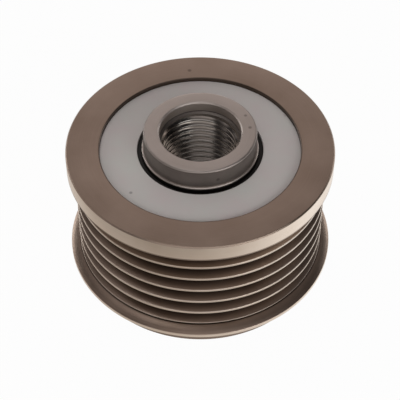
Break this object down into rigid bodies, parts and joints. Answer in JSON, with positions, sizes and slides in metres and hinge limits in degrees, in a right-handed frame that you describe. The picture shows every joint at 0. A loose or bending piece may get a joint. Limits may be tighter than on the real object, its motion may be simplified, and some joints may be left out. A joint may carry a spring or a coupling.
{
  "type": "overrunning alternator pulley",
  "caption": "Ribbed belt pulley on a threaded hub; a roller clutch between two roller bearings drives the hub one way and lets the rim overrun.",
  "frame": {"origin": "on the pulley's axis, in the plane of the rim's front face, on which it stands", "axes": "+Z along the axis from the front face to the hub's open end, +X through the first roller of each row"},
  "size_m": [0.0568, 0.0568, 0.0364],
  "materials": {
    "rim_steel": "turned, bronzed",
    "hub_steel": "turned, bronzed",
    "seal_grey": "matt moulded",
    "seal_rubber": "matt",
    "bearing_steel": "ground",
    "cage_polymer": "matt moulded",
    "spring_steel": "bright strip"
  },
  "bodies": {
    "hub": {"hub_sleeve": "hub_steel", "rear_bearing_inner_ring": "bearing_steel", "front_bearing_inner_ring": "bearing_steel", "clutch_cam_ring": "bearing_steel", "clutch_cage": "cage_polymer", "clutch_spring_1": "spring_steel", "clutch_spring_2": "spring_steel", "clutch_spring_3": "spring_steel", "clutch_spring_4": "spring_steel", "clutch_spring_5": "spring_steel", "clutch_spring_6": "spring_steel", "clutch_spring_7": "spring_steel", "clutch_spring_8": "spring_steel"},
    "rim": {"pulley_rim": "rim_steel", "rear_seal_shield": "seal_grey", "rear_seal_lip": "seal_rubber", "front_seal_shield": "seal_grey", "front_seal_lip": "seal_rubber", "rear_bearing_outer_ring": "bearing_steel", "front_bearing_outer_ring": "bearing_steel", "clutch_outer_race": "bearing_steel"},
    "rear_cage": {"rear_bearing_cage": "cage_polymer"},
    "rear_roller_01": {"rear_bearing_roller_01": "bearing_steel"},
    "rear_roller_02": {"rear_bearing_roller_02": "bearing_steel"},
    "rear_roller_03": {"rear_bearing_roller_03": "bearing_steel"},
    "rear_roller_04": {"rear_bearing_roller_04": "bearing_steel"},
    "rear_roller_05": {"rear_bearing_roller_05": "bearing_steel"},
    "rear_roller_06": {"rear_bearing_roller_06": "bearing_steel"},
    "rear_roller_07": {"rear_bearing_roller_07": "bearing_steel"},
    "rear_roller_08": {"rear_bearing_roller_08": "bearing_steel"},
    "rear_roller_09": {"rear_bearing_roller_09": "bearing_steel"},
    "rear_roller_10": {"rear_bearing_roller_10": "bearing_steel"},
    "rear_roller_11": {"rear_bearing_roller_11": "bearing_steel"},
    "rear_roller_12": {"rear_bearing_roller_12": "bearing_steel"},
    "front_cage": {"front_bearing_cage": "cage_polymer"},
    "front_roller_01": {"front_bearing_roller_01": "bearing_steel"},
    "front_roller_02": {"front_bearing_roller_02": "bearing_steel"},
    "front_roller_03": {"front_bearing_roller_03": "bearing_steel"},
    "front_roller_04": {"front_bearing_roller_04": "bearing_steel"},
    "front_roller_05": {"front_bearing_roller_05": "bearing_steel"},
    "front_roller_06": {"front_bearing_roller_06": "bearing_steel"},
    "front_roller_07": {"front_bearing_roller_07": "bearing_steel"},
    "front_roller_08": {"front_bearing_roller_08": "bearing_steel"},
    "front_roller_09": {"front_bearing_roller_09": "bearing_steel"},
    "front_roller_10": {"front_bearing_roller_10": "bearing_steel"},
    "front_roller_11": {"front_bearing_roller_11": "bearing_steel"},
    "front_roller_12": {"front_bearing_roller_12": "bearing_steel"},
    "clutch_roller_body_1": {"clutch_roller_1": "bearing_steel"},
    "clutch_roller_body_2": {"clutch_roller_2": "bearing_steel"},
    "clutch_roller_body_3": {"clutch_roller_3": "bearing_steel"},
    "clutch_roller_body_4": {"clutch_roller_4": "bearing_steel"},
    "clutch_roller_body_5": {"clutch_roller_5": "bearing_steel"},
    "clutch_roller_body_6": {"clutch_roller_6": "bearing_steel"},
    "clutch_roller_body_7": {"clutch_roller_7": "bearing_steel"},
    "clutch_roller_body_8": {"clutch_roller_8": "bearing_steel"}
  },
  "joints": [
    {"name": "pulley_spin", "type": "hinge", "parent": "hub", "child": "rim", "pos_m": [0, 0, 0], "axis": [0, 0, 1], "continuous": true},
    {"name": "rear_cage_spin", "type": "hinge", "parent": "hub", "child": "rear_cage", "pos_m": [0, 0, 0], "axis": [0, 0, 1], "continuous": true},
    {"name": "rear_roller_01_spin", "type": "hinge", "parent": "rear_cage", "child": "rear_roller_01", "pos_m": [0.0165, 0, 0], "axis": [0, 0, 1], "continuous": true},
    {"name": "rear_roller_02_spin", "type": "hinge", "parent": "rear_cage", "child": "rear_roller_02", "pos_m": [0.01429, 0.00825, 0], "axis": [0, 0, 1], "continuous": true},
    {"name": "rear_roller_03_spin", "type": "hinge", "parent": "rear_cage", "child": "rear_roller_03", "pos_m": [0.00825, 0.01429, 0], "axis": [0, 0, 1], "continuous": true},
    {"name": "rear_roller_04_spin", "type": "hinge", "parent": "rear_cage", "child": "rear_roller_04", "pos_m": [0, 0.0165, 0], "axis": [0, 0, 1], "continuous": true},
    {"name": "rear_roller_05_spin", "type": "hinge", "parent": "rear_cage", "child": "rear_roller_05", "pos_m": [-0.00825, 0.01429, 0], "axis": [0, 0, 1], "continuous": true},
    {"name": "rear_roller_06_spin", "type": "hinge", "parent": "rear_cage", "child": "rear_roller_06", "pos_m": [-0.01429, 0.00825, 0], "axis": [0, 0, 1], "continuous": true},
    {"name": "rear_roller_07_spin", "type": "hinge", "parent": "rear_cage", "child": "rear_roller_07", "pos_m": [-0.0165, 0, 0], "axis": [0, 0, 1], "continuous": true},
    {"name": "rear_roller_08_spin", "type": "hinge", "parent": "rear_cage", "child": "rear_roller_08", "pos_m": [-0.01429, -0.00825, 0], "axis": [0, 0, 1], "continuous": true},
    {"name": "rear_roller_09_spin", "type": "hinge", "parent": "rear_cage", "child": "rear_roller_09", "pos_m": [-0.00825, -0.01429, 0], "axis": [0, 0, 1], "continuous": true},
    {"name": "rear_roller_10_spin", "type": "hinge", "parent": "rear_cage", "child": "rear_roller_10", "pos_m": [0, -0.0165, 0], "axis": [0, 0, 1], "continuous": true},
    {"name": "rear_roller_11_spin", "type": "hinge", "parent": "rear_cage", "child": "rear_roller_11", "pos_m": [0.00825, -0.01429, 0], "axis": [0, 0, 1], "continuous": true},
    {"name": "rear_roller_12_spin", "type": "hinge", "parent": "rear_cage", "child": "rear_roller_12", "pos_m": [0.01429, -0.00825, 0], "axis": [0, 0, 1], "continuous": true},
    {"name": "front_cage_spin", "type": "hinge", "parent": "hub", "child": "front_cage", "pos_m": [0, 0, 0], "axis": [0, 0, 1], "continuous": true},
    {"name": "front_roller_01_spin", "type": "hinge", "parent": "front_cage", "child": "front_roller_01", "pos_m": [0.0165, 0, 0], "axis": [0, 0, 1], "continuous": true},
    {"name": "front_roller_02_spin", "type": "hinge", "parent": "front_cage", "child": "front_roller_02", "pos_m": [0.01429, -0.00825, 0], "axis": [0, 0, 1], "continuous": true},
    {"name": "front_roller_03_spin", "type": "hinge", "parent": "front_cage", "child": "front_roller_03", "pos_m": [0.00825, -0.01429, 0], "axis": [0, 0, 1], "continuous": true},
    {"name": "front_roller_04_spin", "type": "hinge", "parent": "front_cage", "child": "front_roller_04", "pos_m": [0, -0.0165, 0], "axis": [0, 0, 1], "continuous": true},
    {"name": "front_roller_05_spin", "type": "hinge", "parent": "front_cage", "child": "front_roller_05", "pos_m": [-0.00825, -0.01429, 0], "axis": [0, 0, 1], "continuous": true},
    {"name": "front_roller_06_spin", "type": "hinge", "parent": "front_cage", "child": "front_roller_06", "pos_m": [-0.01429, -0.00825, 0], "axis": [0, 0, 1], "continuous": true},
    {"name": "front_roller_07_spin", "type": "hinge", "parent": "front_cage", "child": "front_roller_07", "pos_m": [-0.0165, 0, 0], "axis": [0, 0, 1], "continuous": true},
    {"name": "front_roller_08_spin", "type": "hinge", "parent": "front_cage", "child": "front_roller_08", "pos_m": [-0.01429, 0.00825, 0], "axis": [0, 0, 1], "continuous": true},
    {"name": "front_roller_09_spin", "type": "hinge", "parent": "front_cage", "child": "front_roller_09", "pos_m": [-0.00825, 0.01429, 0], "axis": [0, 0, 1], "continuous": true},
    {"name": "front_roller_10_spin", "type": "hinge", "parent": "front_cage", "child": "front_roller_10", "pos_m": [0, 0.0165, 0], "axis": [0, 0, 1], "continuous": true},
    {"name": "front_roller_11_spin", "type": "hinge", "parent": "front_cage", "child": "front_roller_11", "pos_m": [0.00825, 0.01429, 0], "axis": [0, 0, 1], "continuous": true},
    {"name": "front_roller_12_spin", "type": "hinge", "parent": "front_cage", "child": "front_roller_12", "pos_m": [0.01429, 0.00825, 0], "axis": [0, 0, 1], "continuous": true},
    {"name": "clutch_roller_slide_1", "type": "slide", "parent": "hub", "child": "clutch_roller_body_1", "axis": [0, -1, 0], "range_m": [0, 0.0006], "stiffness_N_per_m": 200, "springref_m": -0.0005, "deforming": ["clutch_spring_1"]},
    {"name": "clutch_roller_slide_2", "type": "slide", "parent": "hub", "child": "clutch_roller_body_2", "axis": [0.7071, -0.7071, 0], "range_m": [0, 0.0006], "stiffness_N_per_m": 200, "springref_m": -0.0005, "deforming": ["clutch_spring_2"]},
    {"name": "clutch_roller_slide_3", "type": "slide", "parent": "hub", "child": "clutch_roller_body_3", "axis": [1, 0, 0], "range_m": [0, 0.0006], "stiffness_N_per_m": 200, "springref_m": -0.0005, "deforming": ["clutch_spring_3"]},
    {"name": "clutch_roller_slide_4", "type": "slide", "parent": "hub", "child": "clutch_roller_body_4", "axis": [0.7071, 0.7071, 0], "range_m": [0, 0.0006], "stiffness_N_per_m": 200, "springref_m": -0.0005, "deforming": ["clutch_spring_4"]},
    {"name": "clutch_roller_slide_5", "type": "slide", "parent": "hub", "child": "clutch_roller_body_5", "axis": [0, 1, 0], "range_m": [0, 0.0006], "stiffness_N_per_m": 200, "springref_m": -0.0005, "deforming": ["clutch_spring_5"]},
    {"name": "clutch_roller_slide_6", "type": "slide", "parent": "hub", "child": "clutch_roller_body_6", "axis": [-0.7071, 0.7071, 0], "range_m": [0, 0.0006], "stiffness_N_per_m": 200, "springref_m": -0.0005, "deforming": ["clutch_spring_6"]},
    {"name": "clutch_roller_slide_7", "type": "slide", "parent": "hub", "child": "clutch_roller_body_7", "axis": [-1, 0, 0], "range_m": [0, 0.0006], "stiffness_N_per_m": 200, "springref_m": -0.0005, "deforming": ["clutch_spring_7"]},
    {"name": "clutch_roller_slide_8", "type": "slide", "parent": "hub", "child": "clutch_roller_body_8", "axis": [-0.7071, -0.7071, 0], "range_m": [0, 0.0006], "stiffness_N_per_m": 200, "springref_m": -0.0005, "deforming": ["clutch_spring_8"]}
  ],
  "couplings": [
    {"joint": "rear_cage_spin", "follows": "pulley_spin", "ratio": 0.56061},
    {"joint": "rear_roller_01_spin", "follows": "pulley_spin", "ratio": 4.1263},
    {"joint": "rear_roller_02_spin", "follows": "pulley_spin", "ratio": 4.1263},
    {"joint": "rear_roller_03_spin", "follows": "pulley_spin", "ratio": 4.1263},
    {"joint": "rear_roller_04_spin", "follows": "pulley_spin", "ratio": 4.1263},
    {"joint": "rear_roller_05_spin", "follows": "pulley_spin", "ratio": 4.1263},
    {"joint": "rear_roller_06_spin", "follows": "pulley_spin", "ratio": 4.1263},
    {"joint": "rear_roller_07_spin", "follows": "pulley_spin", "ratio": 4.1263},
    {"joint": "rear_roller_08_spin", "follows": "pulley_spin", "ratio": 4.1263},
    {"joint": "rear_roller_09_spin", "follows": "pulley_spin", "ratio": 4.1263},
    {"joint": "rear_roller_10_spin", "follows": "pulley_spin", "ratio": 4.1263},
    {"joint": "rear_roller_11_spin", "follows": "pulley_spin", "ratio": 4.1263},
    {"joint": "rear_roller_12_spin", "follows": "pulley_spin", "ratio": 4.1263},
    {"joint": "front_cage_spin", "follows": "pulley_spin", "ratio": 0.56061},
    {"joint": "front_roller_01_spin", "follows": "pulley_spin", "ratio": 4.1263},
    {"joint": "front_roller_02_spin", "follows": "pulley_spin", "ratio": 4.1263},
    {"joint": "front_roller_03_spin", "follows": "pulley_spin", "ratio": 4.1263},
    {"joint": "front_roller_04_spin", "follows": "pulley_spin", "ratio": 4.1263},
    {"joint": "front_roller_05_spin", "follows": "pulley_spin", "ratio": 4.1263},
    {"joint": "front_roller_06_spin", "follows": "pulley_spin", "ratio": 4.1263},
    {"joint": "front_roller_07_spin", "follows": "pulley_spin", "ratio": 4.1263},
    {"joint": "front_roller_08_spin", "follows": "pulley_spin", "ratio": 4.1263},
    {"joint": "front_roller_09_spin", "follows": "pulley_spin", "ratio": 4.1263},
    {"joint": "front_roller_10_spin", "follows": "pulley_spin", "ratio": 4.1263},
    {"joint": "front_roller_11_spin", "follows": "pulley_spin", "ratio": 4.1263},
    {"joint": "front_roller_12_spin", "follows": "pulley_spin", "ratio": 4.1263},
    {"joint": "clutch_roller_slide_2", "follows": "clutch_roller_slide_1", "ratio": 1},
    {"joint": "clutch_roller_slide_3", "follows": "clutch_roller_slide_1", "ratio": 1},
    {"joint": "clutch_roller_slide_4", "follows": "clutch_roller_slide_1", "ratio": 1},
    {"joint": "clutch_roller_slide_5", "follows": "clutch_roller_slide_1", "ratio": 1},
    {"joint": "clutch_roller_slide_6", "follows": "clutch_roller_slide_1", "ratio": 1},
    {"joint": "clutch_roller_slide_7", "follows": "clutch_roller_slide_1", "ratio": 1},
    {"joint": "clutch_roller_slide_8", "follows": "clutch_roller_slide_1", "ratio": 1}
  ]
}
